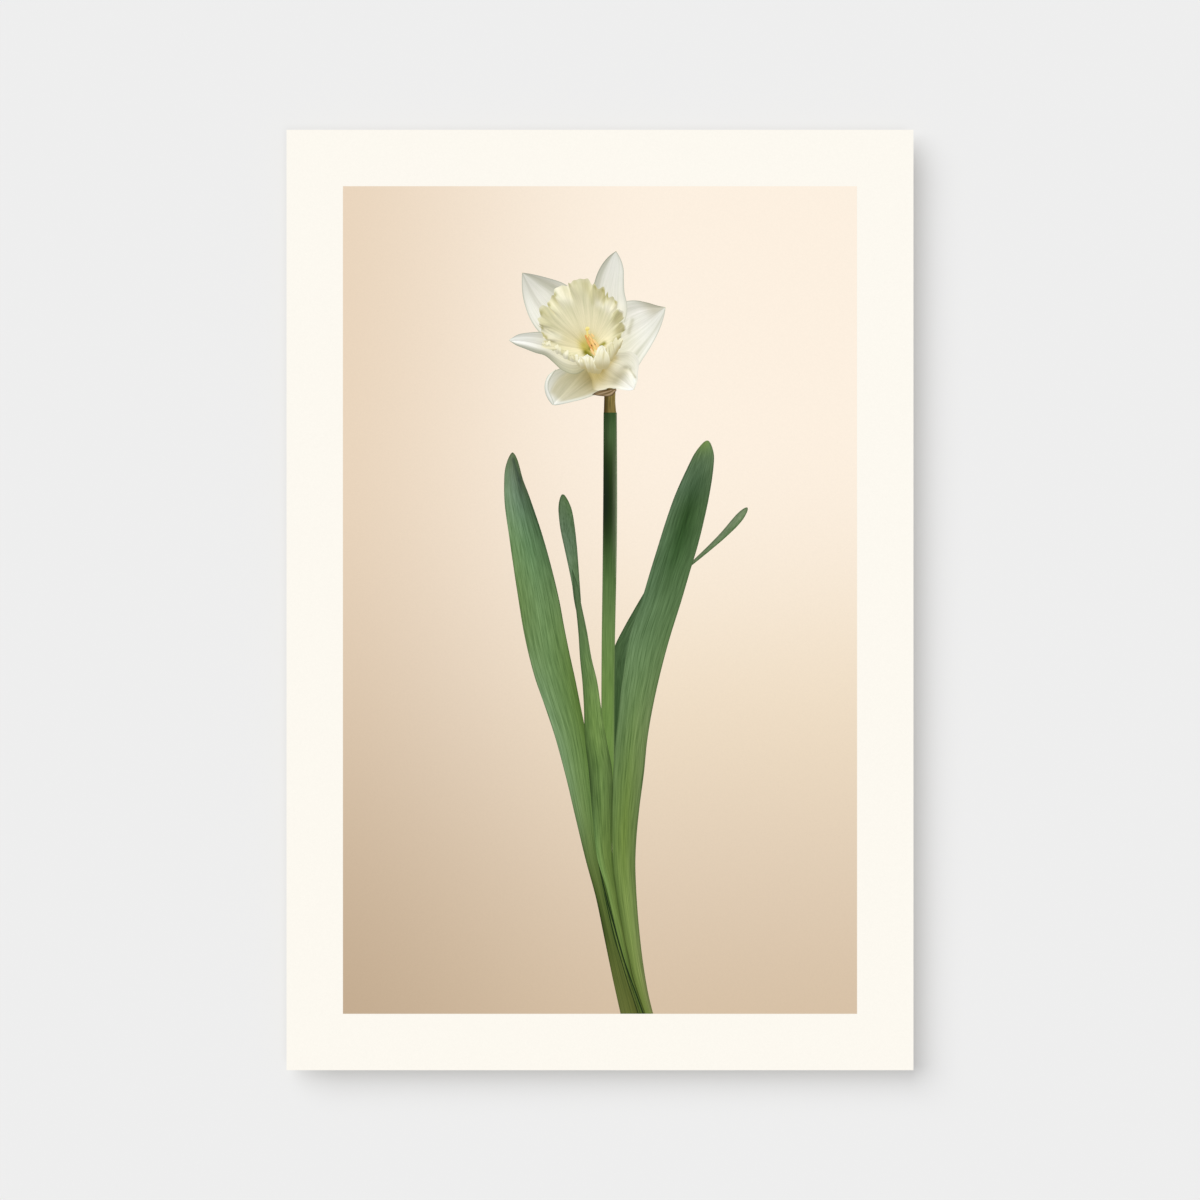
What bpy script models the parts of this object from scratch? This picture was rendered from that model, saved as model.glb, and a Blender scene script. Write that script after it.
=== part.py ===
"""Loose art print: one cut sheet of heavy paper, upright, printed face towards -Y.

The origin is the centre of the back face, where the sheet is fixed to a wall.
"""

import bmesh
import bpy
from mathutils import Matrix, Vector

# Driving dimensions, in metres
SHEET_WIDTH = 0.400        # along X
SHEET_HEIGHT = 0.600       # along Z
SHEET_THICKNESS = 0.0003   # along Y, heavy matte art paper
BACK_FACE_Y = 0.0          # the bare back lies in this plane and faces +Y

PAPER_COLOUR = (0.955, 0.915, 0.840, 1.0)
PAPER_ROUGHNESS = 0.85


def clear_scene():
    """Remove whatever the scene holds."""
    for item in list(bpy.data.objects):
        bpy.data.objects.remove(item, do_unlink=True)


def make_paper():
    """Warm white uncoated paper."""
    paper = bpy.data.materials.new("paper")
    paper.use_nodes = True
    shader = paper.node_tree.nodes["Principled BSDF"]
    shader.inputs["Base Color"].default_value = PAPER_COLOUR
    shader.inputs["Roughness"].default_value = PAPER_ROUGHNESS
    shader.inputs["Metallic"].default_value = 0.0
    paper.diffuse_color = PAPER_COLOUR
    return paper


def make_sheet(paper):
    """The flat sheet, with its square-cut edges."""
    sheet_mesh = bmesh.new()
    bmesh.ops.create_cube(sheet_mesh, size=1.0)
    size = Matrix.Diagonal((SHEET_WIDTH, SHEET_THICKNESS, SHEET_HEIGHT, 1.0))
    place = Matrix.Translation(Vector((0.0, BACK_FACE_Y - SHEET_THICKNESS / 2.0, 0.0)))
    bmesh.ops.transform(sheet_mesh, matrix=place @ size, verts=sheet_mesh.verts)
    data = bpy.data.meshes.new("print_sheet")
    sheet_mesh.to_mesh(data)
    sheet_mesh.free()
    data.materials.append(paper)
    sheet = bpy.data.objects.new("print_sheet", data)
    bpy.context.collection.objects.link(sheet)
    return sheet


clear_scene()
make_sheet(make_paper())
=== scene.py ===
"""Loose art print: a sheet of matte art paper with a narcissus picture inside an even bare margin.

The plant is first formed in the round, in front of the sheet, and lit by a soft window light. What
is seen of it square-on is then laid flat into the sheet's own face as areas of ink, so the finished
piece is one thin flat sheet. Plant measures are in millimetres from the sheet's centre: x to the
right, y away from the viewer and z up. Everything else is in metres.
"""

import math

import bmesh
import bpy
import numpy as np
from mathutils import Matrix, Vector
from mathutils.bvhtree import BVHTree
from mathutils.geometry import delaunay_2d_cdt


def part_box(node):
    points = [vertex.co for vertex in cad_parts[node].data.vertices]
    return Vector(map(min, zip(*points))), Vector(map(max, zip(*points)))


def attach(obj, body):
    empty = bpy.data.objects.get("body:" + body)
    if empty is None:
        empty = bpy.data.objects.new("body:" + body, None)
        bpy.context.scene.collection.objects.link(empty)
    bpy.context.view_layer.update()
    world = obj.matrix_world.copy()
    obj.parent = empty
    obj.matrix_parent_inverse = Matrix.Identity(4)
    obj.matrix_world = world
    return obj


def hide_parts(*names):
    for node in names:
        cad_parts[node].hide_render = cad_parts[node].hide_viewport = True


MM = 0.001
MARGIN = 36.0              # bare paper round the picture, mm
LIGHT_ON_PAPER = 1.043     # what the studio light sends back from a pure white sheet
SHEEN = 0.0065             # what the matte surface adds to any ink

# Kinds of surface in the picture
LEAF, STEM, NECK, BRACT_SKIN, PETAL, TRUMPET, FRILL, ANTHER, STIGMA = range(9)


# ---------------------------------------------------------------- small sums

def unit(v):
    """The vector or vectors at length one."""
    v = np.asarray(v, float)
    return v / np.maximum(np.linalg.norm(v, axis=-1, keepdims=True), 1e-12)


def linear(shown):
    """Display colour, 0 to 255, as linear light."""
    c = np.asarray(shown, float) / 255.0
    return np.where(c <= 0.04045, c / 12.92, ((c + 0.055) / 1.055) ** 2.4)


def ease(low, high, x):
    """0 below low, 1 above high, smooth between."""
    t = np.clip((x - low) / (high - low), 0.0, 1.0)
    return t * t * (3.0 - 2.0 * t)


def mix(a, b, t):
    """a where t is 0 and b where it is 1, for colours too."""
    t = np.asarray(t, float)
    if t.ndim and np.ndim(a) + np.ndim(b) > 0:
        t = t[..., None]
    return np.asarray(a, float) * (1.0 - t) + np.asarray(b, float) * t


def through(points, t):
    """A smooth curve through (place, value, ...) points, read at t."""
    table = np.array(points, float)
    keys = table[:, 0]
    values = table[:, 1:]
    steps = np.diff(keys)
    slopes = np.diff(values, axis=0) / steps[:, None]
    before = steps[:-1, None]
    after = steps[1:, None]
    inner = (slopes[1:] * before + slopes[:-1] * after) / (before + after)
    tangents = np.vstack([slopes[:1], inner, slopes[-1:]])
    t = np.clip(np.asarray(t, float), keys[0], keys[-1])
    i = np.clip(np.searchsorted(keys, t, side="right") - 1, 0, len(steps) - 1)
    h = steps[i][..., None]
    q = ((t - keys[i]) / steps[i])[..., None]
    found = (
        (2 * q**3 - 3 * q**2 + 1) * values[i]
        + (q**3 - 2 * q**2 + q) * h * tangents[i]
        + (3 * q**2 - 2 * q**3) * values[i + 1]
        + (q**3 - q**2) * h * tangents[i + 1]
    )
    return found[..., 0] if found.shape[-1] == 1 else found


def near_line(x, z, start, end, breadth):
    """1 on the line between two points and 0 well away from it."""
    run = np.subtract(end, start)
    share = np.clip(((x - start[0]) * run[0] + (z - start[1]) * run[1]) / (run @ run), 0.0, 1.0)
    away = np.hypot(x - start[0] - share * run[0], z - start[1] - share * run[1])
    return np.exp(-((away / breadth) ** 2))


# ---------------------------------------------------------------- surfaces in the round

class Patch:
    """One skin of the plant: a grid bent into place by a shape function of (across, along).

    across runs from -1 to 1 and along from 0 to 1. grain is the width in millimetres that
    one unit across stands for, which sets how fine the streaks in the ink are. edge is how
    far in millimetres a point is from the nearer side rim.
    """

    def __init__(self, kind, shape, columns, rows, grain, tones=None, tint=0.0):
        grid = bmesh.new()
        bmesh.ops.create_grid(grid, x_segments=columns, y_segments=rows, size=1.0)
        grid.verts.index_update()
        flat = np.array([v.co for v in grid.verts])
        self.quads = np.array([[v.index for v in f.verts] for f in grid.faces])
        rims = [e for e in grid.edges if e.is_boundary]
        self.rims = np.array([[v.index for v in e.verts] for e in rims])
        folds = [e for e in grid.edges if not e.is_boundary]
        self.folds = np.array([[v.index for v in e.verts] for e in folds])
        self.fold_faces = np.array([[f.index for f in e.link_faces] for e in folds])
        grid.free()
        self.kind = kind
        self.across = flat[:, 0]
        self.along = (flat[:, 1] + 1.0) / 2.0
        self.at = shape(self.across, self.along)
        self.normal = self.measure_normals(shape)
        rim = shape(np.where(self.across < 0, -1.0, 1.0), self.along)
        self.edge = np.linalg.norm((rim - self.at)[:, [0, 2]], axis=1)
        self.grain = grain
        self.tint = tint
        self.tone = self.mix_tones(tones) if tones else np.ones((len(flat), 3))

    def mix_tones(self, tones):
        """Colour by height, from (z, left, middle, right) rows."""
        table = [(row[0], *row[1], *row[2], *row[3]) for row in tones]
        found = through(table, self.at[:, 2])
        w = self.across[:, None]
        left = np.clip(-w, 0.0, 1.0)
        right = np.clip(w, 0.0, 1.0)
        shown = found[:, 0:3] * left + found[:, 3:6] * (1.0 - np.abs(w)) + found[:, 6:9] * right
        return linear(shown)

    def measure_normals(self, shape):
        """Normals from the shape function itself, so that seams don't show."""
        step = 1e-3
        left, right = (np.clip(self.across + d, -1.0, 1.0) for d in (-step, step))
        below, above = (np.clip(self.along + d, 0.0, 1.0) for d in (-step, step))
        sideways = shape(right, self.along) - shape(left, self.along)
        upwards = shape(self.across, above) - shape(self.across, below)
        return unit(np.cross(sideways, upwards))


# ---------------------------------------------------------------- leaves, stem, neck, bract

# Greens of the plant, as display colours
BLOOM = (120, 149, 106)    # waxy, a little grey
FRESH = (108, 138, 84)
DEEP = (88, 116, 70)
DUSK = (78, 104, 70)
DARK = (60, 88, 48)
SUNLIT = (120, 146, 80)
GREY_GREEN = (116, 136, 102)


def narrowing(part, run, power):
    """How the end of a blade closes: 1 until the last run of it, 0 at the tip."""
    end = np.clip((part - (1.0 - run)) / run, 0.0, 1.0)
    return np.maximum(1.0 - end**2, 0.0) ** power


def make_strap(rows, depth, channel, tip_run, tip_power=0.5, lean=0.0):
    """An upright strap leaf between two edges, from its cut end to its tip.

    rows: (height, left edge, right edge). depth: y at its cut end, middle and tip. channel:
    how deep its hollow face is, as a part of its half width. lean: how far its right side
    stands forward, likewise.
    """
    low = rows[0][0]
    high = rows[-1][0]

    def shape(across, along):
        z = high - (high - low) * (1.0 - along) ** 1.5
        left, right = through(rows, z).T
        part = (z - low) / (high - low)
        half = (right - left) / 2.0 * narrowing(part, tip_run / (high - low), tip_power)
        y = through(((0.0, depth[0]), (0.5, depth[1]), (1.0, depth[2])), part)
        ribs = 0.03 * np.sin(across * 27.0) + 0.04 * np.sin(across * 47.0 + 1.0)
        forward = half * (channel * across**2 + lean * across) + ribs * np.minimum(half / 6.0, 1.0)
        return np.stack([(left + right) / 2.0 + half * across, y - forward, z], axis=-1)

    return shape


def make_blade(rib, sides, depths, relief, tip_run=0.0, tip_power=0.5):
    """A blade grown along a rib.

    rib: (part, x, z). sides: (part, width to the left, width to the right), looking from its
    base to its tip. depths: (part, y). relief(across, part, width) is how far it stands forward.
    """

    def shape(across, along):
        s = 1.0 - (1.0 - along) ** 1.35
        centre = through(rib, s)
        run = unit(through(rib, np.clip(s + 0.02, 0, 1)) - through(rib, np.clip(s - 0.02, 0, 1)))
        left, right = through(sides, s).T
        width = left + (right - left) * ease(-0.15, 0.15, across)
        if tip_run > 0.0:
            width = width * narrowing(s, tip_run, tip_power)
        x = centre[:, 0] + run[:, 1] * across * width
        z = centre[:, 1] - run[:, 0] * across * width
        return np.stack([x, through(depths, s) - relief(across, s, width), z], axis=-1)

    return shape


# Leaf edges are (height, left, right), and tones (height, left, middle, right)
# The left leaf
LEFT_LEAF = dict(
    rows=((-275, 15.6, 29), (-241, 8, 19.2), (-213, 2.2, 10.6), (-190, -2.6, 4.6), (-166, -9.1, -1),
          (-139, -15.6, -3.6), (-110, -22.5, -6), (-86, -29.1, -8.8), (-66, -35.8, -12.7),
          (-50, -41.4, -15.9), (-36, -45.2, -19), (-19.5, -48.8, -22.4), (0, -52, -26),
          (19, -54.9, -30.5), (40, -57.9, -36.3), (66, -61.1, -45), (80, -61, -50), (94.2, -60, -51.6)),
    depth=(-4, -6, -2), channel=0.28, tip_run=15, tip_power=0.62, lean=-0.1,
)
LEFT_LEAF_TONES = (
    (-268, (104, 112, 58), (102, 110, 54), (94, 98, 42)),
    (-230, (86, 98, 46), (92, 104, 50), (90, 104, 50)), (-205, (52, 68, 26), (96, 112, 54), (70, 90, 42)),
    (-181, (74, 92, 42), (102, 120, 62), (76, 96, 44)),
    (-140, (112, 138, 92), (118, 144, 84), (98, 126, 66)), (-60, BLOOM, FRESH, (94, 122, 56)),
    (0, (108, 136, 80), (110, 141, 91), (98, 126, 76)),
    (40, (118, 149, 100), (102, 135, 94), (76, 104, 68)),
    (64, (124, 151, 114), (106, 132, 104), (72, 94, 66)),
    (78, (122, 148, 112), (106, 126, 102), (90, 106, 76)), (94, (108, 124, 90), (104, 118, 86), DEEP),
)
# The short leaf beside it, behind the rolled edge at its foot
SHORT_LEAF_FOOT = dict(
    rows=((-275, 28.6, 33), (-251, 21.2, 24.6), (-239, 17.6, 20.8), (-228, 14.3, 18.6), (-217, 11.6, 16),
          (-205, 8.6, 13.6), (-194, 6, 11.6), (-181, 2.8, 10), (-166, -1.5, 8), (-140, -4.6, 7.8),
          (-106, -7.5, 7.4), (-88, -9.6, 3.9), (-66, -10.4, 0.3), (-52, -11.3, -1.8), (-38, -12.7, -5.2),
          (-20, -13.9, -8.3), (0, -16.1, -12.4), (10, -17.6, -14), (20, -19.3, -16.4)),
    depth=(-14, -24, -14), channel=0.55, tip_run=22, tip_power=0.8, lean=0.35,
)
SHORT_LEAF_FOOT_TONES = (
    (-268, (84, 102, 44), (84, 102, 44), (84, 98, 40)),
    (-240, (104, 124, 58), (100, 122, 56), (72, 86, 36)),
    (-215, (118, 142, 72), (116, 140, 70), (88, 106, 48)),
    (-165, (126, 160, 92), (110, 134, 68), (86, 110, 50)),
    (-118, (68, 92, 48), (108, 136, 74), (78, 100, 52)),
    (-72, (84, 112, 58), (112, 141, 75), (118, 147, 82)), (-35, DEEP, (100, 128, 76), (104, 131, 80)),
    (0, (76, 100, 64), (84, 107, 70), (92, 116, 78)), (20, DUSK, DUSK, DUSK),
)
SHORT_LEAF_TOP = dict(
    rows=((-14, -13.6, -12), (0, -16.6, -12.2), (10, -17.9, -12.9), (20, -19.9, -13.6),
          (33, -22.7, -14.6), (46, -25.4, -16), (55, -26.4, -17.4), (67.5, -26.9, -20.6)),
    depth=(-12, -8, -6), channel=0.3, tip_run=11, tip_power=0.5, lean=-0.15,
)
SHORT_LEAF_TOP_TONES = (
    (-14, DUSK, DUSK, DUSK), (18, (99, 124, 92), (98, 123, 86), (92, 117, 80)),
    (38, (104, 125, 98), (96, 119, 90), (88, 112, 80)), (67, (88, 112, 76), (86, 109, 72), DEEP),
)
# The short leaf's rolled near edge, a thin dark fold at the foot of the plant
ROLLED_EDGE = dict(
    rows=((-275, 27.2, 29.4), (-251, 19.9, 21.9), (-239, 15.9, 18.2), (-228, 12.7, 14.9), (-217, 9.2, 12),
          (-205, 6.4, 9), (-194, 3.9, 6.5), (-181, 1.1, 3.2), (-168, -1.6, -0.6)),
    depth=(-34, -34, -34), channel=-0.2, tip_run=16, tip_power=0.8,
)
ROLLED_EDGE_TONES = ((-268, (84, 92, 36), (104, 116, 58), (62, 74, 24)),
                     (-205, (50, 72, 22), (106, 126, 62), (30, 50, 10)),
                     (-178, (78, 98, 42), (96, 118, 56), (66, 90, 34)))
# The right leaf
RIGHT_LEAF = dict(
    rows=((-275, 30.5, 37), (-253, 24, 31.2), (-233, 18.5, 27.7), (-212, 14.6, 25.2), (-188, 10.4, 23.3),
          (-166, 8, 22.6), (-150, 7.6, 23.4), (-133, 7.8, 25.1), (-110, 8.4, 28.1), (-90, 10, 30.1),
          (-48, 14.7, 38.2), (-25, 18.4, 44.3), (0, 26.6, 52.1), (18.8, 32.2, 57.6), (34, 36.9, 62.2),
          (50, 41.9, 66.2), (67, 47.9, 69.8), (90, 58.4, 72.8), (101.8, 64, 72.8)),
    depth=(-10, -16, -8), channel=0.34, tip_run=12, tip_power=0.5, lean=0.05,
)
RIGHT_LEAF_TONES = (
    (-268, (104, 120, 54), (122, 137, 70), (136, 140, 90)),
    (-200, (94, 116, 56), (136, 158, 86), (110, 128, 74)),
    (-150, (112, 138, 76), (117, 141, 68), (102, 122, 73)),
    (-85, (100, 127, 80), (115, 141, 82), (104, 124, 77)),
    (-40, (110, 139, 94), (101, 129, 83), (96, 121, 75)),
    (8, (98, 127, 90), (78, 106, 66), (85, 112, 71)), (38, (98, 126, 90), (52, 82, 42), (80, 106, 68)),
    (56, (96, 122, 88), (48, 76, 38), (82, 108, 70)), (78, (96, 122, 90), (74, 99, 68), (80, 103, 70)),
    (92, (98, 123, 82), (92, 116, 78), (98, 123, 84)), (101, SUNLIT, SUNLIT, FRESH),
)
# The narrow leaf behind the right one, and its tip, which shows beyond
BACK_LEAF = dict(
    rows=((-200, 8, 16), (-120, 7.5, 24), (-60, 7.5, 30), (-30, 9.2, 34), (-17, 15.6, 40), (-6, 21.8, 44),
          (8, 30, 48), (22, 38, 54)),
    depth=(2, 2, 4), channel=0.3, tip_run=10, tip_power=0.8, lean=0.2,
)
BACK_LEAF_TONES = (
    (-200, DARK, DARK, DARK), (-90, (66, 93, 52), DARK, DARK), (-20, (84, 111, 72), DUSK, DARK),
    (22, (80, 106, 74), DUSK, DUSK),
)
BACK_LEAF_TIP = dict(
    rib=((0, 54.4, 19.6), (0.35, 70.7, 34), (0.65, 81.1, 44), (0.85, 87.8, 51.4), (1, 94.1, 59)),
    sides=((0, 0.7, 0.7), (0.3, 1.5, 1.5), (0.6, 2.2, 2.2), (0.85, 2.7, 2.7), (1, 2.3, 2.3)),
    depths=((0, 4), (1, 8)),
    relief=lambda across, s, width: 0.3 * width * across**2,
    tip_run=0.14,
)
BACK_LEAF_TIP_TONES = ((20, (112, 130, 96), GREY_GREEN, DEEP), (40, (122, 140, 106), GREY_GREEN, DEEP),
                       (60, GREY_GREEN, (122, 140, 104), (104, 126, 90)))


def make_line(points, width, depth):
    """A thin line lying on the plant, along (z, x)."""
    rows = tuple((z, x - width / 2, x + width / 2) for z, x in points)
    return make_strap(rows=rows, depth=(depth, depth, depth), channel=0, tip_run=14, tip_power=0.8)


# Painted shade in the creases beside the rolled edge, and a painted highlight along the stem's right edge
CREASE_SHADE_LINES = (
    make_line(((-270, 29.8), (-249, 22.2), (-232, 16.1), (-212, 10.2), (-194, 5.2), (-168, -1)),
              0.85, -38),
    make_line(((-270, 26.6), (-239, 16.2), (-209, 7.8), (-186, 2.4)), 0.5, -38),
)
# the colours of the painted shade in the creases
CREASE_SHADE_TONES = ((-268, (34, 50, 10), (26, 44, 8), (26, 44, 8)),
                   (-160, (20, 40, 10), (20, 40, 10), (40, 62, 20)))
# a thin line of painted highlight along the stem's right edge
STEM_HIGHLIGHT_LINE = make_line(((14, 9.9), (57, 10.35), (85, 10.35), (114, 10.3)), 0.8, -30)
STEM_HIGHLIGHT_TONES = ((14, (104, 124, 84), (108, 126, 88), (108, 126, 88)),
                   (60, (100, 116, 86), (124, 138, 108), (124, 138, 108)),
                   (114, (84, 104, 70), (96, 116, 80), (96, 116, 80)))


def make_tube(path, widths):
    """A round stalk along (part, x, y, z), with its seam at the back."""

    def shape(across, along):
        x, y, z = through(path, along).T
        radius = through(widths, along) / 2.0
        angle = across * math.pi
        return np.stack([x + radius * np.sin(angle), y - radius * np.cos(angle), z], axis=-1)

    return shape


STALK_Y = -16.0
STALK_PATH = ((0, 5.2, STALK_Y + 4, -150), (0.30, 5, STALK_Y, -66), (0.46, 5.3, STALK_Y, -27),
              (0.62, 6, STALK_Y, 15), (0.78, 6.45, STALK_Y, 57), (1, 6.5, STALK_Y, 119.6))
STALK_WIDTHS = ((0, 8.4), (0.4, 8.4), (0.75, 9), (1, 8.5))
NECK_PATH = ((0, 6.4, STALK_Y + 0.4, 118.8), (0.35, 6.2, STALK_Y - 0.6, 126), (1, 6.6, STALK_Y - 3, 140))
NECK_WIDTHS = ((0, 8.1), (0.30, 7.3), (1, 7.2))
# The papery sheath under the flower, in front of the neck
BRACT = dict(
    rib=((0, 10.4, 134.4), (0.35, 5.4, 132.6), (0.7, 0.2, 131.8), (1, -5.2, 131.1)),
    sides=((0, 0.6, 0.6), (0.25, 2.7, 1.5), (0.5, 2.3, 2), (0.8, 1.2, 1.5), (1, 0, 0)),
    depths=((0, -60), (1, -60)),
    relief=lambda across, s, width: 0.8 * width * (1.0 - across**2) + 0.25 * np.sin(9.0 * across + 5.0 * s),
)


# ---------------------------------------------------------------- the flower

THROAT_X = -6.3
THROAT_Z = 159.5
TRUMPET_Y = -47.0           # the throat of the trumpet
FRILL_Y = -64.0            # the foot of its near rim
ANTHER_Y = -58.0
STIGMA_Y = -60.0
KEEL_DEPTH = 0.5           # the groove along the middle of a petal


def from_throat(points):
    """(part, right, up) measured from the throat, as (part, x, z) on the sheet."""
    return tuple((s, THROAT_X + right, THROAT_Z + up) for s, right, up in points)


def petal_relief(cups, rolls, phase, crease=0, pleated=1):
    """How a petal stands forward: cupped sides, rolled rims, a keel and a few long pleats.

    crease is how deep a slanting fold in its left side is, near the tip.
    """

    def relief(across, s, width):
        far = np.abs(across)
        cup = mix(cups[0], cups[1], ease(-0.1, 0.1, across))
        roll = mix(rolls[0], rolls[1], ease(-0.1, 0.1, across))
        grown = ease(0, 0.35, s)
        forward = width * grown * (cup * far**2 + roll * ease(0.55, 1, far))
        pleats = (0.22 * np.sin(10.0 * across + 1.5 * s + phase)
                  + 0.14 * np.sin(17.0 * across - 2.5 * s + 2.0 * phase)
                  + 0.06 * np.sin(41.0 * across + 1.2 * s + 3.0 * phase))
        forward = forward + pleated * pleats * grown * (1.0 - s) ** 0.5 * np.minimum(width / 12, 1)
        forward = forward + 0.9 * np.sin(4.2 * s + 1.9 * across + phase) * grown * far
        fold = across + 0.45 + 1.2 * (s - 0.67)
        forward = forward - crease * np.exp(-((fold / 0.10) ** 2)) * ease(0.52, 0.70, s)
        return forward - KEEL_DEPTH * np.exp(-((across / 0.09) ** 2)) * grown * (1.0 - s) ** 0.4

    return relief


PETALS = (
    # outer three: upper left, right, lower left
    dict(rib=from_throat(((0, -1, 1), (0.35, -16.4, 16), (0.7, -31.8, 33), (1, -43.4, 49.4))),
         sides=((0, 5, 5), (0.25, 12, 14), (0.45, 14.9, 19.4), (0.60, 13.7, 18.9),
                (0.72, 10.9, 16), (0.84, 7.2, 10.4), (0.94, 3, 4.3), (1, 0, 0)),
         depths=((0, -34), (0.5, -40), (0.8, -44), (1, -52)),
         relief=petal_relief((0.18, 0.34), (0.05, 0.40), 0.4)),
    dict(rib=from_throat(((0, 1, 0), (0.35, 17.4, 8), (0.7, 34, 17.6), (1, 48.2, 27.3))),
         sides=((0, 5, 6), (0.2, 10, 16), (0.38, 16, 22.6), (0.50, 17.8, 19.5),
                (0.66, 17.3, 14.6), (0.78, 13.8, 10.4), (0.87, 8.6, 6.8), (0.95, 2.9, 3), (1, 0, 0)),
         depths=((0, -34), (0.5, -39), (0.78, -43), (1, -54)),
         relief=petal_relief((0.16, 0.14), (0.12, 0.02), 2)),
    dict(rib=from_throat(((0, 1.5, -5), (0.4, -8.4, -17.2), (0.75, -17.4, -27.8), (1, -23.6, -35))),
         sides=((0, 14, 6), (0.25, 19.6, 9), (0.45, 15.8, 11.6), (0.62, 11.8, 14.2),
                (0.76, 7.8, 13.4), (0.87, 4.7, 10.7), (0.95, 2.3, 7), (0.985, 1, 4), (1, 0, 0)),
         depths=((0, -34), (0.5, -37), (1, -44)),
         relief=petal_relief((0.10, 0.20), (0.05, 0.20), 3.9, pleated=0.5)),
    # inner three: top, left, lower right
    dict(rib=from_throat(((0, 0, 2), (0.35, 5.6, 22), (0.7, 11.6, 43.6), (1, 16.6, 63.2))),
         sides=((0, 5, 5), (0.25, 11, 15), (0.42, 11.6, 17), (0.54, 9.8, 15.2),
                (0.64, 8.6, 11.8), (0.76, 8, 9.2), (0.86, 6.2, 7.2), (0.94, 3.4, 3.9), (1, 0, 0)),
         depths=((0, -38), (0.5, -45), (1, -54)),
         relief=petal_relief((0.40, 0.18), (0.50, 0.20), 1.1)),
    dict(rib=from_throat(((0, 0, -3), (0.3, -14, -3.8), (0.6, -30, 2.5), (0.8, -41, 5.3), (1, -52, 6.3))),
         sides=((0, 6, 5), (0.1, 9, 9), (0.22, 11.4, 12), (0.32, 9.8, 12.5),
                (0.42, 7.2, 12), (0.53, 5.4, 10.6), (0.66, 5.5, 8.4), (0.80, 4.5, 5.8),
                (0.91, 2.9, 3.6), (1, 0, 0)),
         depths=((0, -44), (0.5, -52), (1, -58)),
         relief=petal_relief((0.02, 0.25), (-0.12, 0.12), 5)),
    dict(rib=from_throat(((0, 2, -6), (0.4, 12.3, -13.4), (0.8, 22.7, -21), (1, 28.2, -25.2))),
         sides=((0, 8, 8), (0.2, 12.2, 11), (0.38, 15, 15.4), (0.48, 17.6, 13.4),
                (0.60, 18.4, 8.8), (0.70, 17.6, 7.2), (0.79, 14.4, 5.6), (0.88, 9, 3.8),
                (0.96, 4.6, 1.8), (1, 0, 0)),
         depths=((0, -42), (0.5, -50), (1, -52)),
         relief=petal_relief((0.12, 0.25), (0.15, 0.20), 2.9, crease=1.5)),
)

# The rim of the lower left petal, folded over to the front
FOLDED_RIM = dict(
    rows=tuple((THROAT_Z + up, THROAT_X + left, THROAT_X + right) for up, left, right in (
        (-35, -24.2, -23), (-32, -26.5, -23.6), (-28.6, -28.2, -25.2), (-24.3, -29.1, -26.5),
        (-19.4, -28.4, -25.8), (-15.7, -26.4, -23.7), (-12.4, -22.4, -21.2))),
    depth=(-58, -58, -56), channel=-0.5, tip_run=4, lean=-0.1,
)

# The trumpet: how far its frilled rim shows from the throat, by degrees round it from the right
RIM = ((-90, 11), (-40, 12.5), (-10, 15.5), (18, 21.6), (30, 25.6), (44, 30.2), (58, 34), (72, 37.6),
       (80, 40.2), (88, 42.6), (96, 44.9), (104, 45.6), (110, 43.8), (119, 45.4), (126, 42.8), (134, 41),
       (143, 40.8), (150, 37.8), (155, 35.2), (161, 32.8), (167, 30.4), (173, 30.2), (181, 21.5),
       (190, 15.5), (205, 11), (235, 9.5), (270, 10))
# Lobe by lobe round it: the degrees where the lobe ends, how far it curls back, how deep its
# notches are, how ruffled it is, its painted tone (1 a painted highlight where it turns into the
# light, -1 painted shade on its shaded side) and how strong the painted highlight on its very edge is
LOBES = np.array((
    (-60, 0, 0.06, 0.3, 0, 0.3), (-30, 0, 0.06, 0.3, 0, 0.3), (-4, 2, 0.08, 0.6, 0.2, 0.6),
    (14, 3, 0.10, 0.8, 0.3, 0.8), (29, 0.5, 0.15, 0.5, -1, 1), (43, 0.5, 0.13, 0.5, -0.9, 1),
    (57, 0.5, 0.15, 0.5, -0.8, 1), (74, 5.5, 0.13, 1.2, 0.3, 0.3), (88, 0.5, 0.10, 1.2, -0.4, 0.1),
    (108.5, 1, 0.06, 0.5, -0.15, 0.1), (124, 8, 0.13, 0.6, 0.6, 0.2), (134, 2.5, 0.14, 0.8, 0.1, 0),
    (154, 1, 0.17, 0.8, -0.3, 0.3), (167, 4.5, 0.12, 1.1, 0.6, 0.5), (180, 3, 0.12, 1.1, 0.2, 0.6),
    (205, 2, 0.08, 0.8, 0, 0.4), (240, 0, 0.06, 0.3, 0, 0.3), (270, 0, 0.06, 0.3, 0, 0.3),
))
# Small olive tips along its edge, measured from the throat
OLIVE_TIPS = ((-31, 14.8), (-28.4, 8.6), (-26.6, 29.4), (-22.6, 36), (-31.8, 24), (16, 31.2), (8, 38.6),
              (10.6, 35.8), (21.4, 12.4), (3, 40.6))


def lobe_at(across):
    """The lobe's row, how wide it is in degrees, and how far across it from 0 to 1."""
    degrees = 90.0 + 180.0 * across
    ends = np.append(-90, LOBES[:, 0])
    number = np.clip(np.searchsorted(ends, degrees, side="right") - 1, 0, len(LOBES) - 1)
    pitch = ends[number + 1] - ends[number]
    return LOBES[number], pitch, np.clip((degrees - ends[number]) / pitch, 0, 1)


def ripple(turn, seed):
    """An uneven ripple, roughly from -1 to 1, once round the trumpet."""
    return (0.40 * np.sin(23.0 * turn + seed + 1.6 * np.sin(3.0 * turn + seed))
            + 0.34 * np.sin(41.0 * turn + 2.0 * seed + 1.2 * np.sin(5.0 * turn))
            + 0.26 * np.sin(67.0 * turn + 3.0 * seed + 2.2 * np.sin(4.0 * turn + 1)))


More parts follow.
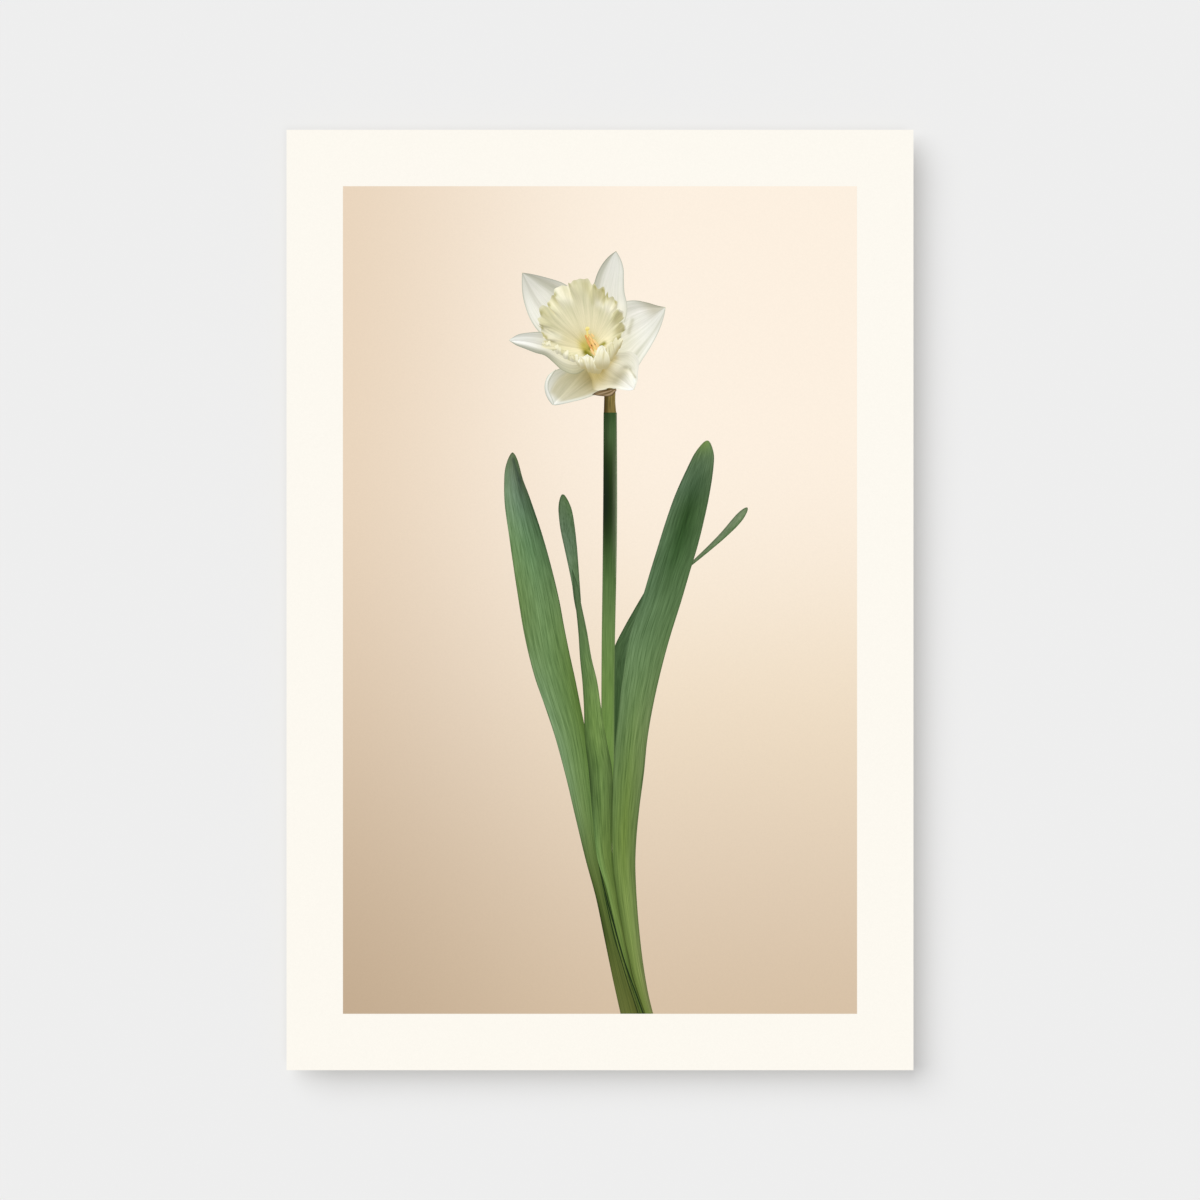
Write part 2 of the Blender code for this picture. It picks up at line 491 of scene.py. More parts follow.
def trumpet_wall(across, along):
    """The trumpet, from its throat to its frilled rim, with its seam below."""
    degrees = 90.0 + 180.0 * across
    lobe, pitch, t = lobe_at(across)
    bulge = np.sin(math.pi * t)
    ruffled = lobe[:, 3]
    frill = ease(0.62, 1, along)
    turn = np.radians(degrees)
    reach = through(RIM, degrees)
    notch = lobe[:, 2] * (1.0 - bulge**0.55)
    teeth = (1.0 + 1.4 * ruffled) * ripple(turn, 0.6)
    teeth = teeth + 0.7 * ruffled * np.sin(97.0 * turn + 2.0 * np.sin(7.0 * turn))
    radius = along**0.92 * reach * (1.0 - notch * frill) + teeth * ease(0.86, 1, along)
    sideways = -0.17 * np.radians(pitch) * reach * np.sin(2.0 * math.pi * t) * frill**1.5
    forward = 26.0 * along - 8.0 * along**3
    forward = forward + 0.8 * np.sin(5.0 * turn + 0.8) * along + 0.5 * ripple(turn, 2) * along**2
    forward = forward - 2.4 * (1.0 - bulge) * frill - 1.6 * np.sin(2.0 * math.pi * t) * frill
    forward = forward + 2.2 * ruffled * ripple(turn, 4) * ease(0.70, 1, along)
    curl = mix(lobe[:, 1] * bulge**0.6, 1.5, 0.25)
    forward = forward - curl * ease(0.70, 1, along) ** 2
    x = THROAT_X + radius * np.cos(turn) - sideways * np.sin(turn)
    z = THROAT_Z + radius * np.sin(turn) + sideways * np.cos(turn)
    return np.stack([x, TRUMPET_Y - forward, z], axis=-1)


# The near side of the rim, which stands up in front of the throat: its foot and its frilled top
FRILL_FOOT = from_throat(((0, -30.9, 3.4), (0.15, -24, 0.2), (0.30, -16.8, -4.6), (0.42, -9.4, -8.2),
                          (0.50, -5, -11.2), (0.58, -1.2, -13), (0.66, 3, -14.8), (0.74, 7, -13.2),
                          (0.82, 11.4, -9.4), (0.90, 15.6, -3.8), (0.95, 18.4, 0.8), (1, 21, 5)))
FRILL_TOP = from_throat(((0, -30.5, 6), (0.15, -23.6, 5.6), (0.30, -15.8, 1.2), (0.42, -10.2, -3.4),
                         (0.50, -6.2, -5.2), (0.58, -2, -4.6), (0.64, 1.6, -5.4), (0.72, 6.2, 0),
                         (0.82, 10, 1.4), (0.90, 13.6, 4.6), (0.95, 17.2, 7.4), (1, 20.9, 9.2)))
# Its pleats, by where each ends along it, with how far each stands up and its painted tone (above 0
# highlight, below 0 shade)
PLEATS = np.array((
    (0, 0, 0), (0.06, 0.3, 0), (0.13, 0.5, 0.1), (0.17, 0.4, -0.6), (0.25, 0.5, 0), (0.29, 0.4, -0.7),
    (0.37, 0.7, 0.2), (0.42, 0.6, -0.5), (0.47, 0.9, 0.3), (0.53, 0.9, 0.4), (0.595, 1, 0.3),
    (0.655, 0.9, 0.2), (0.80, 1, 0.3), (0.855, 0.7, -0.4), (0.91, 0.8, -0.7), (0.955, 0.6, -0.4),
    (1, 0.5, -0.2),
))


def pleat_at(across, along):
    """The pleat's row, its number, and how far across it from 0 to 1."""
    part = (across + 1) / 2.0
    part = part + (0.020 * np.sin(13.0 * part) + 0.010 * np.sin(37.0 * part)) * (along - 0.4)
    number = np.clip(np.searchsorted(PLEATS[:, 0], part, side="right") - 1, 0, len(PLEATS) - 2)
    t = (part - PLEATS[number, 0]) / (PLEATS[number + 1, 0] - PLEATS[number, 0])
    return PLEATS[number + 1], number, np.clip(t, 0, 1)


def trumpet_frill(across, along):
    """The near rim: a short wall of uneven pleats with a ruffled top edge."""
    part = (across + 1) / 2.0
    foot = through(FRILL_FOOT, part)
    top = through(FRILL_TOP, part)
    run = unit(through(FRILL_TOP, np.clip(part + 0.02, 0, 1))
               - through(FRILL_TOP, np.clip(part - 0.02, 0, 1)))
    uneven = ripple(2.6 * part, 1)
    place = foot + (top - foot) * along[:, None]
    pleat, number, t = pleat_at(across, along)
    bulge = np.sin(math.pi * t)
    size = pleat[:, 1] * ease(0, 0.04, part) * ease(1, 0.96, part) * (0.55 + 0.45 * ease(0.30, 0.48, part))
    grown = along**0.8
    sway = (1.3 * np.sin(1.7 * number) * bulge * size + 0.6 * uneven) * grown
    lift = (2.4 * bulge**0.6 * size - 1.2 + 1.1 * uneven) * grown**1.5
    lift = lift + (0.9 * ripple(2.1 * part, 2) - 1.0 * bulge * size) * (1.0 - along) ** 2
    x = place[:, 0] + sway * run[:, 0]
    z = place[:, 1] + sway * run[:, 1] + lift
    forward = 4.0 * ease(0.30, 0.50, part) - 4.0 - 1.5 * along
    forward = forward + 5.0 * np.sin(math.pi * (0.12 + 0.74 * along))
    forward = forward + (2.8 * bulge**0.8 * size - 1.4 + 1.2 * ripple(2.6 * part, 3)) * grown
    return np.stack([x, FRILL_Y - forward, z], axis=-1)


def lobe_relief(across, s, width):
    """A rounded lobe whose sides turn away and whose top curls over a little."""
    return width * (0.55 - 0.55 * across**2) - 0.9 * s**3 + 0.25 * np.sin(5.0 * across + 4.0 * s)


def make_lobe(foot, bend, top, widths, depth):
    """One broad lobe of the rim in front of the pleats: widths are (part, left, right)."""
    blade = make_blade(rib=from_throat(((0, *foot), (0.5, *bend), (1, *top))), sides=widths,
                       depths=((0, depth + 3), (0.5, depth), (1, depth + 1)), relief=lobe_relief)

    def shape(across, along):
        at = blade(across, along)
        at[:, 0] = at[:, 0] + 0.45 * np.sin(9.0 * along + 3.0 * across + foot[0]) * ease(0.2, 0.8, along)
        ruffle = 0.55 * np.sin(6.0 * across + foot[0]) + 0.35 * np.sin(13.0 * across + 2.0 * foot[0])
        at[:, 2] = at[:, 2] + ruffle * ease(0.5, 1, along)
        at[:, 1] = at[:, 1] - 0.7 * ruffle * ease(0.3, 0.9, along)
        return at

    return shape


RIM_LOBES = (
    make_lobe((-3.6, -11.6), (-5, -8), (-6.6, -4.6),
              ((0, 1.2, 1.8), (0.4, 1.9, 2.6), (0.75, 1.7, 2.4), (0.93, 0.9, 1.3), (1, 0, 0)), -70),
    make_lobe((3.2, -14.4), (3.4, -9.6), (4.2, -4.6),
              ((0, 1.4, 1.4), (0.4, 2.4, 2.2), (0.75, 1.8, 1.6), (0.93, 0.9, 0.8), (1, 0, 0)), -71),
    make_lobe((0.6, -13.6), (-0.6, -8.4), (-1.8, -3.4),
              ((0, 1.6, 1.8), (0.4, 2.6, 2.6), (0.75, 2.2, 2.2), (0.93, 1.2, 1.3), (1, 0, 0)), -73),
    make_lobe((7.4, -12.2), (7.4, -4.8), (7.6, 2.2),
              ((0, 3, 3.4), (0.25, 4.6, 5.2), (0.5, 4.2, 4.8), (0.75, 3, 3.2), (0.9, 2, 2.2),
               (0.97, 1.1, 1.3), (1, 0, 0)), -74),
)


def make_capsule(start, end, thickness, y):
    """A small rounded rod between two points measured from the throat."""

    def shape(across, along):
        angle = across * math.pi
        swell = thickness / 2.0 * np.sin(math.pi * np.clip(along, 0.01, 0.99)) ** 0.35
        run = unit(np.array(end) - np.array(start))
        x = THROAT_X + start[0] + (end[0] - start[0]) * along + run[1] * swell * np.sin(angle)
        z = THROAT_Z + start[1] + (end[1] - start[1]) * along - run[0] * swell * np.sin(angle)
        return np.stack([x, y - swell * np.cos(angle), z], axis=-1)

    return shape


ANTHERS = (((0.6, 10.4), (2.6, 8.2), 1.5), ((-3.2, 9.6), (-0.4, 4.6), 1.7),
           ((-1.6, 10.4), (2.4, 4.6), 1.7), ((1.8, 7), (5.9, 1.4), 1.8), ((-2.2, 6.4), (2.2, -0.8), 1.7),
           ((0.2, 6.2), (4.4, 0), 1.8), ((0.2, 1), (2.8, -3.4), 1.6))


def form_plant():
    """Every skin of the plant, in front of the sheet."""
    plant = [
        Patch(LEAF, make_strap(**LEFT_LEAF), 24, 150, 13, LEFT_LEAF_TONES),
        Patch(LEAF, make_strap(**SHORT_LEAF_FOOT), 14, 130, 6, SHORT_LEAF_FOOT_TONES),
        Patch(LEAF, make_strap(**ROLLED_EDGE), 8, 90, 3, ROLLED_EDGE_TONES),
        Patch(LEAF, make_strap(**SHORT_LEAF_TOP), 14, 50, 6, SHORT_LEAF_TOP_TONES),
        Patch(LEAF, make_strap(**RIGHT_LEAF), 24, 150, 13, RIGHT_LEAF_TONES),
        Patch(LEAF, make_strap(**BACK_LEAF), 14, 70, 11, BACK_LEAF_TONES),
        Patch(LEAF, make_blade(**BACK_LEAF_TIP), 12, 40, 4, BACK_LEAF_TIP_TONES),
        Patch(STEM, make_tube(STALK_PATH, STALK_WIDTHS), 32, 120, 14),
        Patch(LEAF, STEM_HIGHLIGHT_LINE, 2, 60, 1, STEM_HIGHLIGHT_TONES),
        Patch(NECK, make_tube(NECK_PATH, NECK_WIDTHS), 28, 16, 12),
        Patch(BRACT_SKIN, make_blade(**BRACT), 14, 24, 3),
    ]
    plant += [Patch(LEAF, line, 2, 60, 1, CREASE_SHADE_TONES) for line in CREASE_SHADE_LINES]
    for number, petal in enumerate(PETALS):
        plant.append(Patch(PETAL, make_blade(**petal), 54, 84, 16, tint=number))
    plant.append(Patch(PETAL, make_strap(**FOLDED_RIM), 10, 40, 2, tint=len(PETALS)))
    plant.append(Patch(TRUMPET, trumpet_wall, 460, 50, 80))
    plant.append(Patch(FRILL, trumpet_frill, 330, 22, 34))
    plant += [Patch(FRILL, shape, 30, 30, 8, tint=1) for shape in RIM_LOBES]
    for number, (start, end, thickness) in enumerate(ANTHERS):
        rod = make_capsule(start, end, thickness, ANTHER_Y - number)
        plant.append(Patch(ANTHER, rod, 10, 16, 2, tint=number))
    plant.append(Patch(STIGMA, make_capsule((-1.7, 8), (-1.9, 15), 1.3, STIGMA_Y), 10, 14, 2))
    plant.append(Patch(STIGMA, make_capsule((-3.1, 13.2), (-0.4, 13.9), 2.6, STIGMA_Y - 1), 10, 10, 2))
    return plant


# ---------------------------------------------------------------- light on the plant

VIEWER_Y = -200.0          # in front of the whole plant


class Plant:
    """All the skins as one set of triangles, with the tree that rays are sent through."""

    def __init__(self, patches):
        self.patches = patches
        counts = [len(p.at) for p in patches]
        firsts = np.cumsum([0] + counts)

        def joined(name):
            return np.concatenate([getattr(p, name) for p in patches])

        def repeated(values):
            return np.repeat(values, counts)

        self.at = joined("at")
        normal = joined("normal")
        self.facing = np.where(normal[:, 1:2] > 0, -normal, normal)
        self.across = joined("across")
        self.along = joined("along")
        self.edge = joined("edge")
        self.tone = joined("tone")
        self.right = self.at[:, 0] - THROAT_X
        self.up = self.at[:, 2] - THROAT_Z
        self.kind = repeated([p.kind for p in patches])
        self.grain = repeated([p.grain for p in patches])
        self.tint = repeated([p.tint for p in patches])
        self.patch = repeated(np.arange(len(patches)))
        quads = np.vstack([p.quads + f for p, f in zip(patches, firsts)])
        self.triangles = np.vstack([quads[:, [0, 1, 2]], quads[:, [0, 2, 3]]])
        self.edges = np.vstack([np.vstack([p.rims, p.folds]) + f for p, f in zip(patches, firsts)])
        self.tree = BVHTree.FromPolygons(self.at.tolist(), self.triangles.tolist(), epsilon=0.0)

    def near(self, start, end, breadth):
        """1 on the line between two points measured from the throat and 0 well away from it."""
        return near_line(self.right, self.up, start, end, breadth)

    def look(self, x, z):
        """The point and the triangle that the viewer sees at that place, or None and None."""
        place, _, triangle, _ = self.tree.ray_cast(Vector((x, VIEWER_Y, z)), Vector((0.0, 1.0, 0.0)))
        return place, triangle

    def kind_at(self, x, z):
        """The kind of surface seen at that place, or None beside the plant."""
        triangle = self.look(x, z)[1]
        return None if triangle is None else self.kind[self.triangles[triangle, 0]]

    def in_sight(self, x, y, z, slack):
        """True unless a skin hides the point by more than the slack."""
        place = self.look(x, z)[0]
        return place is None or place.y > y - slack

    def seen(self):
        """True for each point that the viewer sees, or nearly."""
        found = np.array([self.in_sight(*place, 1.0) for place in self.at.tolist()])
        shown = found[self.triangles].any(axis=1)
        found[self.triangles[shown].ravel()] = True
        return found

    def soften(self, light, known):
        """The light averaged over neighbours on the same skin, a few times."""
        a, b = self.edges.T
        for _ in range(SOFTENINGS):
            total = light * known[:, None] * 2.0
            count = known * 2.0
            np.add.at(total, a, light[b] * known[b, None])
            np.add.at(total, b, light[a] * known[a, None])
            np.add.at(count, a, known[b])
            np.add.at(count, b, known[a])
            light = total / np.maximum(count, 1.0)[:, None]
        return light


def sky_directions(count, spin):
    """Directions spread evenly over the whole sphere, turned about y by spin radians."""
    i = np.arange(count) + 0.5
    height = 1.0 - 2.0 * i / count
    turn = math.pi * (1.0 + 5.0**0.5) * i
    level = np.sqrt(1.0 - height**2)
    x = level * np.cos(turn)
    return np.stack([x * math.cos(spin) - height * math.sin(spin), level * np.sin(turn),
                     x * math.sin(spin) + height * math.cos(spin)], axis=-1)


KEY_LIGHT = unit((-0.10, -0.62, 0.78))
KEY_BREADTH = 2.2
ROOM_LIGHT = 0.34
WINDOW_LIGHT = 1.6
SPINS = 9                  # sets of rays, so that neighbouring points don't share one
SPIN_STEP = 2.0 * math.pi / SPINS / 1.7
RAYS = 96
SOFTENINGS = 3             # rounds of averaging, which hide the grain of the rays
CLEARANCE = 0.25           # from a skin to where its rays start
REACH = 90.0               # how far off a part can block the light


def sky_light(direction):
    """How bright the room is that way: a broad window above, dim below and behind."""
    return ROOM_LIGHT + WINDOW_LIGHT * np.exp(KEY_BREADTH * (direction @ KEY_LIGHT - 1.0))


BLOCKED = {  # light that still comes from a direction that another part fills
    LEAF: (0.22, 0.30, 0.14), STEM: (0.15, 0.20, 0.10), NECK: (0.25, 0.20, 0.10),
    BRACT_SKIN: (0.4, 0.32, 0.2), PETAL: (0.74, 0.71, 0.60), TRUMPET: (0.74, 0.68, 0.48),
    FRILL: (0.74, 0.68, 0.48), ANTHER: (0.7, 0.48, 0.2), STIGMA: (0.7, 0.6, 0.3),
}


def light_plant(plant, rays):
    """Light that falls on the near side and on the far side of each seen point, as colours."""
    sets = []
    for k in range(SPINS):
        directions = sky_directions(rays, k * SPIN_STEP)
        arriving = sky_light(directions)
        arriving = arriving / (arriving * np.maximum(directions @ unit((0, -1, 0.35)), 0)).sum()
        sets.append((directions, [Vector(d) for d in directions], arriving.tolist()))
    blocked = {kind: np.array(colour) * 4.0 / rays for kind, colour in BLOCKED.items()}
    kinds = plant.kind[plant.triangles[:, 0]].tolist()
    seen = np.flatnonzero(plant.seen())
    near = np.zeros(plant.at.shape)
    far = np.zeros(plant.at.shape)
    for i in seen:
        directions, vectors, arriving = sets[(i * 5) % SPINS]
        step = Vector(plant.facing[i]) * CLEARANCE
        start = Vector(plant.at[i]) + step
        behind = Vector(plant.at[i]) - step
        near_light = near[i]          # the rows themselves, added to in place
        far_light = far[i]
        for vector, open_light, lean in zip(vectors, arriving, (directions @ plant.facing[i]).tolist()):
            hit = plant.tree.ray_cast(start if lean > 0 else behind, vector, REACH)[2]
            light = open_light if hit is None else blocked[kinds[hit]]
            if lean > 0:
                near_light += light * lean
            else:
                far_light -= light * lean
    known = np.zeros(len(plant.at))
    known[seen] = 1.0
    return plant.soften(near, known), plant.soften(far, known)


# ---------------------------------------------------------------- ink colours

PAPER_WHITE = (254, 250, 241)
GROUND_TOP_LEFT = (233, 212, 187)
GROUND_TOP_RIGHT = (254, 241, 225)
GROUND_LOW_LEFT = (191, 167, 139)
GROUND_LOW_RIGHT = (213, 190, 162)


def ground_colour(x, z):
    """The plain backdrop in the picture: pale peach, with painted light brightest at the upper right and
    painted shade to the lower left.
    """
    right = ease(-205, 45, x)
    top = mix(linear(GROUND_TOP_LEFT), linear(GROUND_TOP_RIGHT), right)
    low = mix(linear(GROUND_LOW_LEFT), linear(GROUND_LOW_RIGHT), right)
    shown = mix(top, low, ease(125, -335, z))
    warmer = ease(-120, 60, x) * np.exp(-(((z + 70.0) / 90.0) ** 2))
    return mix(shown, shown * (1.0, 0.985, 0.935), warmer)


def layered(colour, *layers):
    """The colour under layers of (display colour, amount), the first laid first."""
    for shown, amount in layers:
        colour = mix(colour, linear(shown), amount)
    return colour


def tinted(colour, *layers):
    """The colour seen through clear layers of (display colour, amount), which only darken it."""
    for shown, amount in layers:
        colour = mix(colour, colour * linear(shown), amount)
    return colour


def leaf_colour(plant):
    """The leaves' greens, darker along the rims, with painted shade in a groove near the left leaf's tip.
    """
    x = plant.at[:, 0]
    z = plant.at[:, 2]
    bend = (-51.5, 76.6)
    # groove: where painted shade falls along a groove near the left leaf's tip
    groove = near_line(x, z, (-55.4, 90), bend, 1.1) + near_line(x, z, bend, (-47, 52), 1.3)
    return tinted(
        plant.tone,
        ((196, 200, 190), 0.8 * ease(0.9, 0.1, plant.edge) * (plant.grain > 1.0)),
        ((172, 180, 190), np.minimum(groove, 1.0) * ease(52, 82, z)))


STEM_TONES = ((-150, 100, 130, 66), (-60, 106, 136, 70), (-8, 96, 124, 70), (28, 66, 93, 48),
              (52, 36, 54, 24), (85, 42, 62, 28), (110, 68, 93, 54), (119, 54, 80, 42))


def stem_colour(plant):
    """Dark green under the flower, lighter and yellower low down, painted shade on its left, painted
    highlights on its edges.
    """
    z = plant.at[:, 2]
    side = plant.facing[:, 0]
    shade = mix(0.04, 0.44, ease(10, 62, z)) * ease(0.2, -0.6, side)
    colour = linear(through(STEM_TONES, z)) * (1.0 - shade)[:, None]
    # pale: the colour of the painted highlights along the stem's edges
    pale = mix(linear((100, 120, 74)), linear((116, 126, 98)), ease(-20, 60, z))
    colour = mix(colour, pale, 0.8 * ease(0.80, 0.99, side))
    colour = mix(colour, pale, 0.40 * ease(0.25, 0.60, side) * ease(5, 40, z) * ease(116, 80, z))
    return mix(colour, pale, 0.8 * ease(-0.86, -0.99, side) * ease(60, 10, z))


def neck_colour(plant):
    """Dull yellow green, with painted shade on its left, brown streaks and a painted highlight along its
    right edge.
    """
    side = plant.facing[:, 0]
    return layered(
        linear((130, 114, 62)),
        # painted shade on the side turned from the light, brown streaks, then a painted highlight on the
        # right edge
        ((72, 56, 22), ease(0.1, -0.8, side)),
        ((84, 66, 30), 0.7 * np.maximum(np.sin(9.0 * side + 5.0 * plant.along), 0.0) ** 4),
        ((168, 148, 98), 0.6 * ease(0.75, 0.98, side)))


def bract_colour(plant):
    """Papery brown with slanting ribs and a dark rim."""
    slant = 7.0 * plant.across + 9.0 * plant.along
    return layered(
        linear((158, 134, 98)),
        ((132, 108, 68), ease(-1, 1, plant.across)),
        ((84, 62, 34), 0.8 * np.maximum(np.sin(slant), 0.0) ** 2),
        ((214, 186, 160), 0.6 * np.maximum(np.sin(slant + 3.3), 0.0) ** 3),
        ((60, 44, 22), 0.9 * ease(0.8, 0.1, plant.edge)))


def petal_colour(plant):
    """White with painted grey shade at the rim and painted warm shade beside the trumpet's foot."""
    across = plant.across
    along = plant.along
    near = plant.near
    upper_left, at_right, lower_left, top, at_left, lower_right = (plant.tint == k for k in range(6))
    # grey and outline: painted shade where each petal's rim turns away, weaker on the lower right petal
    grey = (186, 192, 176)
    outline = np.where(lower_right, 0.25, 0.9)
    colour = layered(
        linear((253, 253, 247)),
        (grey, outline * 0.80 * ease(1, 0.1, plant.edge)),
        (grey, outline * 0.20 * ease(4, 0.5, plant.edge)),
        # a painted highlight along the keel
        ((255, 255, 250), 0.5 * np.exp(-(across / 0.035) ** 2)))
    # under: where the trumpet casts painted warm shade on the petals
    under = np.exp(-(((plant.right - 4.5) / 12.0) ** 2 + ((plant.up + 16.5) / 9.5) ** 2))
    # within: the part of the lower left petal that lies in painted shade
    within = 1.0 - np.maximum(ease(0.45, 0.80, across), ease(0.70, 0.90, along))
    colour = tinted(
        colour,
        # painted shade: warm under the trumpet, dimmer near the throat, and along the near rim's right foot
        ((196, 181, 130), 0.95 * under),
        ((250, 247, 231), ease(41, 12, np.hypot(plant.right, plant.up))),
        ((214, 199, 150), 0.8 * near((7.5, -12.5), (15.5, -5), 2.6)),
        # painted shade petal by petal: rims and tips turned from the light, a shaded petal, folds and
        # creases
        ((200, 198, 180), upper_left * 0.42 * ease(0.30, 0.60, across) * ease(0.95, 0.75, across)),
        ((216, 216, 208), upper_left * 0.5 * ease(-0.05, -0.20, across) * ease(-0.6, -0.3, across)),
        ((214, 209, 190), at_right * 0.7 * ease(0.62, 0.80, along) * ease(0.30, -0.30, across)),
        ((204, 206, 190), at_right * 0.5 * np.exp(-((across - 0.72) / 0.10) ** 2)),
        ((212, 212, 198), top * 0.5 * ease(-0.35, -0.75, across)),
        ((208, 209, 194), at_left * 0.6 * ease(-0.35, -0.75, across)),
        ((214, 209, 184), lower_left * 0.9 * within * ease(1, 3, plant.edge)),
        ((190, 188, 166), lower_right * 0.8 * near((25.4, -12.2), (28.8, -17.4), 0.6)),
        ((216, 213, 198), lower_right * 0.9 * near((16, -20), (22.5, -12.5), 3.4)),
        ((214, 206, 170), lower_right * 0.8 * near((-2.5, -12), (1.5, -24), 2.6)),
        ((206, 205, 186), at_right * 0.6 * near((24.6, 11), (27, 19), 1.3)))
    lit = (0.05 * at_right + 0.10 * at_right * near((22.8, 11.6), (25.2, 20), 0.8)
           + 0.14 * at_right * near((20, 30), (27, 33), 3)
           + 0.16 * lower_right * near((26.5, -6), (27.5, -20), 3.6)
           + 0.14 * at_left * near((-20, -7), (-13, -14), 5))
    return layered(colour * (1.0 + lit)[:, None], ((228, 222, 150), ease(0.972, 0.992, along)))


def trumpet_colour(plant):
    """Cream, olive in the throat, with painted highlight or painted shade as each lobe turns into the light
    or away.
    """
    along = plant.along
    near = plant.near
    lobe, _, place = lobe_at(plant.across)
    uneven = ripple(np.radians(90.0 + 180.0 * plant.across), 5.0)
    tone = lobe[:, 4] * np.sin(math.pi * place) ** 0.6
    cream = layered(
        linear((250, 243, 206)),
        ((232, 228, 192), ease(0.34, 0.80, along)),
        ((226, 212, 130), ease(0.32, 0.08, along)),
        ((168, 164, 70), ease(0.10, 0, along)),
        ((204, 192, 96), 0.8 * near((-4, 3), (-2, -2), 2.4)),
        ((128, 126, 22), near((-3, -1.4), (0.8, -4.4), 2)),
        ((160, 154, 60), near((6.8, 2.6), (9, 4.2), 1.5)),
        # painted highlight on lobes turned into the light, painted shade on lobes turned away
        ((248, 244, 226), np.maximum(tone, 0.0) * ease(0.60, 0.80, along)),
        ((194, 187, 138), np.maximum(-tone, 0.0) * ease(0.54, 0.80, along)),
        # painted shade in the hollows of the ruffles near the rim
        ((190, 184, 134), np.maximum(-uneven, 0.0) * lobe[:, 3] * ease(0.70, 0.96, along)))
    return layered(
        # painted shade on the left of the wall, a painted highlight on a curled flap, painted shade in two
        # folds near the top
        tinted(cream, ((232, 230, 222), near((-26, 10), (-12, 7), 7))),
        ((255, 252, 230), near((5.4, 29.6), (13, 26), 2.6) * (0.675 + 0.225 * uneven)),
        ((192, 187, 136), 0.5 * near((4.6, 38), (10.4, 33.6), 3)),
        ((200, 195, 146), 0.5 * near((-2.4, 42), (1.6, 30), 1.6)),
        # painted highlights on the rim's very edge and on the lower left, small olive tips, and painted
        # olive shade along the rim
        ((254, 252, 236), 0.9 * lobe[:, 5] * ease(0.945, 0.985, along)),
        ((246, 243, 220), 0.6 * near((-28.5, 11.5), (-20.5, 8.5), 3)),
        *(((166, 160, 88), 0.8 * near(tip, np.add(tip, (0.5, -1)), 0.9)) for tip in OLIVE_TIPS),
        ((176, 170, 98), 0.75 * ease(0.30, 0.65, uneven) * (tone > -0.2) * ease(0.91, 0.97, along)))


def pleat_colour(plant):
    """Ivory at the foot, painted highlights on the pleats that catch the light, painted shade in the
    creases.
    """
    along = plant.along
    part = (plant.across + 1.0) / 2.0
    pleat, _, place = pleat_at(plant.across, along)
    lit = np.maximum(pleat[:, 2], 0.0) * ease(0.15, 0.6, along) * np.sin(math.pi * place) ** 0.5
    # crease: painted shade in the creases between the pleats
    crease = np.exp(-((np.minimum(place, 1.0 - place) / 0.12) ** 2)) * ease(0.20, 0.6, along)
    crease = crease * ease(0.25, 0.50, part) * ease(0.97, 0.85, part)
    # painted shade in the small folds on the left
    fold_shade = np.maximum(-ripple(1.3 * (plant.across + 1.0), 3.0), 0.0) * ease(0.55, 0.35, part)
    return layered(
        linear((230, 226, 202)),
        # painted warm shade at the foot further right, then ivory above it
        ((206, 192, 140), ease(0.35, 0.55, part)),
        ((238, 234, 204), ease(0, 0.55, along)),
        # painted highlights on lit pleats, painted shade on shaded pleats, creases and folds, and a painted
        # highlight along the top edge
        ((255, 254, 242), lit),
        ((204, 197, 152), 0.8 * np.maximum(-pleat[:, 2], 0.0) * ease(0.1, 0.5, along)),
        ((170, 160, 104), 0.7 * crease),
        ((206, 200, 146), 0.7 * fold_shade),
        ((255, 254, 240), 0.8 * ease(0.90, 0.97, along) * (0.4 + 0.6 * ease(0.80, 0.65, part))))


def rim_lobe_colour(plant):
    """The broad lobes in front: a painted highlight towards the top left, with painted shade in two
    slanting furrows.
    """
    across = plant.across
    along = plant.along
    # furrow and fainter: where painted shade lies in two slanting furrows
    furrow = np.exp(-(((across - 0.30 - 0.5 * (along - 0.6)) / 0.13) ** 2)) * ease(0.15, 0.4, along)
    fainter = np.exp(-(((across + 0.45 + 0.4 * (along - 0.6)) / 0.10) ** 2)) * ease(0.3, 0.6, along)
    return layered(
        # painted warm shade at the foot, then cream above
        linear((208, 195, 146)),
        ((238, 233, 202), ease(0, 0.40, along)),
        # painted highlight towards the top left, painted shade in the furrows, painted highlight along the
        # rim
        ((250, 248, 230), ease(0.45, 0.9, along) * ease(1, 0.2, across)),
        ((206, 198, 152), 0.8 * furrow * ease(1, 0.8, along)),
        ((214, 208, 166), 0.6 * fainter * ease(1, 0.8, along)),
        ((255, 255, 244), 0.8 * ease(0.7, 0.2, plant.edge) * ease(0.4, 0.7, along)))


def anther_colour(plant):
    """Orange gold with a painted highlight where each rod faces the viewer, some rods redder and some
    paler.
    """
    return layered(
        linear((236, 164, 84)),
        # painted highlight on the middle of each rod, darker towards its turned-away sides
        ((253, 214, 140), ease(0.85, 0.35, np.abs(plant.facing[:, 0]))),
        ((222, 138, 62), 0.5 * (plant.tint % 3 == 1)),
        ((254, 232, 176), 0.4 * (plant.tint % 3 == 0)))


def stigma_colour(plant):
    """Soft yellow with a painted highlight on top, so darker underneath."""
    return layered(linear((242, 216, 120)), ((254, 240, 158), ease(-0.6, 0.4, plant.facing[:, 2])))


